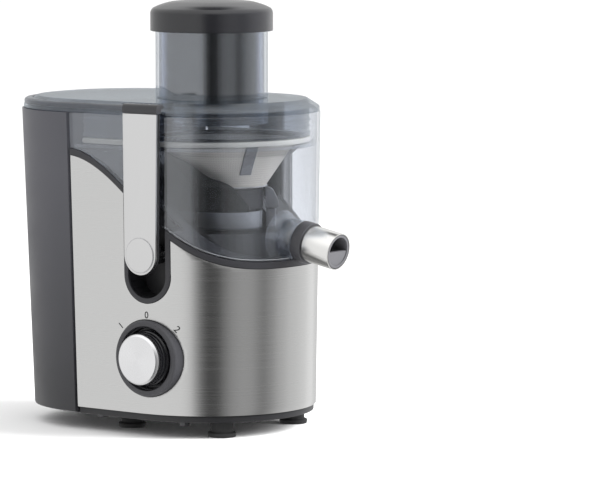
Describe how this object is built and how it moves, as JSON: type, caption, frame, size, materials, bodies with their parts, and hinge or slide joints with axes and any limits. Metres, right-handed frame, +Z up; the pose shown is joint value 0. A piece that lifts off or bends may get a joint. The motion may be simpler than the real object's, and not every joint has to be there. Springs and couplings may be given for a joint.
{
  "type": "centrifugal juicer",
  "caption": "Centrifugal juicer: steel-wrapped motor base, smoky clear collector and lid, wide feed tube with pusher, locking arms, pulp container and drip-stop spout.",
  "frame": {"origin": "centre of the object's box in plan, on the surface that its feet stand on", "axes": "+Z up; +X towards the juice spout, -X towards the pulp container; -Y is the front with the speed knob"},
  "size_m": [0.2626, 0.1734, 0.3055],
  "materials": {
    "brushed_steel": "horizontally brushed stainless sheet",
    "arm_aluminium": "fine brushed aluminium",
    "polished_steel": "polished stainless tube",
    "basket_steel": "etched stainless mesh",
    "black_body": "satin moulded plastic",
    "grey_container": "satin dark grey moulded plastic",
    "gloss_black": "polished black plastic",
    "dark_trim": "satin moulded trim",
    "basket_plastic": "satin grey moulded plastic",
    "smoke_clear": "clear smoke-tinted plastic",
    "seal_light": "soft translucent silicone",
    "rubber_black": "moulded rubber",
    "steel_pin": "plain turned steel",
    "motor_iron": "stacked laminations",
    "copper_wire": "enamelled copper",
    "cast_aluminium": "die cast",
    "switch_plastic": "moulded switch case"
  },
  "bodies": {
    "base": {"housing": "black_body", "motor_deck": "black_body", "slot_liner_front": "black_body", "slot_liner_rear": "black_body", "steel_wrap": "brushed_steel", "wave_trim": "dark_trim", "bottom_cover": "black_body", "foot_front_left": "rubber_black", "foot_front_right": "rubber_black", "foot_rear_left": "rubber_black", "foot_rear_right": "rubber_black", "tongue_foot": "rubber_black", "cover_screw_1": "steel_pin", "cover_screw_2": "steel_pin", "cover_screw_3": "steel_pin", "cover_screw_4": "steel_pin", "cord_gland": "black_body", "knob_bezel": "dark_trim", "speed_switch": "switch_plastic", "interlock_switch": "basket_plastic", "drive_seal": "rubber_black", "stator_core": "motor_iron", "field_coil_front": "copper_wire", "field_coil_rear": "copper_wire", "upper_bracket": "cast_aluminium", "lower_bracket": "cast_aluminium", "upper_bearing": "steel_pin", "lower_bearing": "steel_pin", "brush_holder_left": "basket_plastic", "brush_holder_right": "basket_plastic", "arm_pin_front": "steel_pin", "arm_pin_rear": "steel_pin"},
    "rotor": {"motor_shaft": "steel_pin", "armature_core": "motor_iron", "commutator": "copper_wire", "cooling_fan": "basket_plastic", "drive_coupling": "black_body"},
    "collector": {"collector": "smoke_clear", "juice_chamber": "smoke_clear", "spout_collar": "black_body"},
    "spout": {"spout_sleeve": "polished_steel", "spout_insert": "dark_trim"},
    "basket": {"basket_mesh": "basket_steel", "basket_frame": "basket_plastic", "grater_disc": "basket_steel"},
    "lid": {"lid": "smoke_clear", "lid_seal": "seal_light"},
    "pusher": {"pusher_body": "smoke_clear", "pusher_cap": "gloss_black"},
    "container": {"pulp_container": "grey_container", "container_grip": "black_body"},
    "knob": {"knob_body": "gloss_black", "knob_cap": "arm_aluminium", "knob_shaft": "steel_pin"},
    "front_arm": {"arm_core_front": "black_body", "arm_face_front": "arm_aluminium", "arm_hook_front": "dark_trim"},
    "rear_arm": {"arm_core_rear": "black_body", "arm_face_rear": "arm_aluminium", "arm_hook_rear": "dark_trim"}
  },
  "joints": [
    {"name": "motor_spin", "type": "hinge", "parent": "base", "child": "rotor", "pos_m": [0.03145, 0.0015, 0.1], "axis": [0, 0, 1], "continuous": true},
    {"name": "lid_lift", "type": "slide", "parent": "collector", "child": "lid", "axis": [0, 0, 1], "range_m": [0, 0.1]},
    {"name": "collector_lift", "type": "slide", "parent": "base", "child": "collector", "axis": [0, 0, 1], "range_m": [0, 0.045]},
    {"name": "basket_spin", "type": "hinge", "parent": "collector", "child": "basket", "pos_m": [0.03145, 0.0015, 0.17], "axis": [0, 0, 1], "continuous": true},
    {"name": "spout_turn", "type": "hinge", "parent": "collector", "child": "spout", "pos_m": [0.12855, 0.0015, 0.13145], "axis": [0.9826, 0, -0.1857], "range_deg": [0, 180]},
    {"name": "pusher_lift", "type": "slide", "parent": "lid", "child": "pusher", "axis": [0, 0, 1], "range_m": [0, 0.08]},
    {"name": "container_slide", "type": "slide", "parent": "base", "child": "container", "axis": [-1, 0, 0], "range_m": [0, 0.12]},
    {"name": "speed_turn", "type": "hinge", "parent": "base", "child": "knob", "pos_m": [0.01845, -0.0785, 0.056], "axis": [0, 1, 0], "range_deg": [-45, 45]},
    {"name": "front_arm_swing", "type": "hinge", "parent": "base", "child": "front_arm", "pos_m": [0.01845, -0.0685, 0.1292], "axis": [1, 0, 0], "range_deg": [0, 60]},
    {"name": "rear_arm_swing", "type": "hinge", "parent": "base", "child": "rear_arm", "pos_m": [0.00305, 0.0715, 0.1292], "axis": [-1, 0, 0], "range_deg": [0, 60]}
  ],
  "couplings": [
    {"joint": "collector_lift", "follows": "lid_lift", "ratio": 0.45},
    {"joint": "front_arm_swing", "follows": "lid_lift", "rad_per_m": 10.454},
    {"joint": "rear_arm_swing", "follows": "lid_lift", "rad_per_m": 10.454},
    {"joint": "basket_spin", "follows": "motor_spin", "ratio": 1}
  ]
}
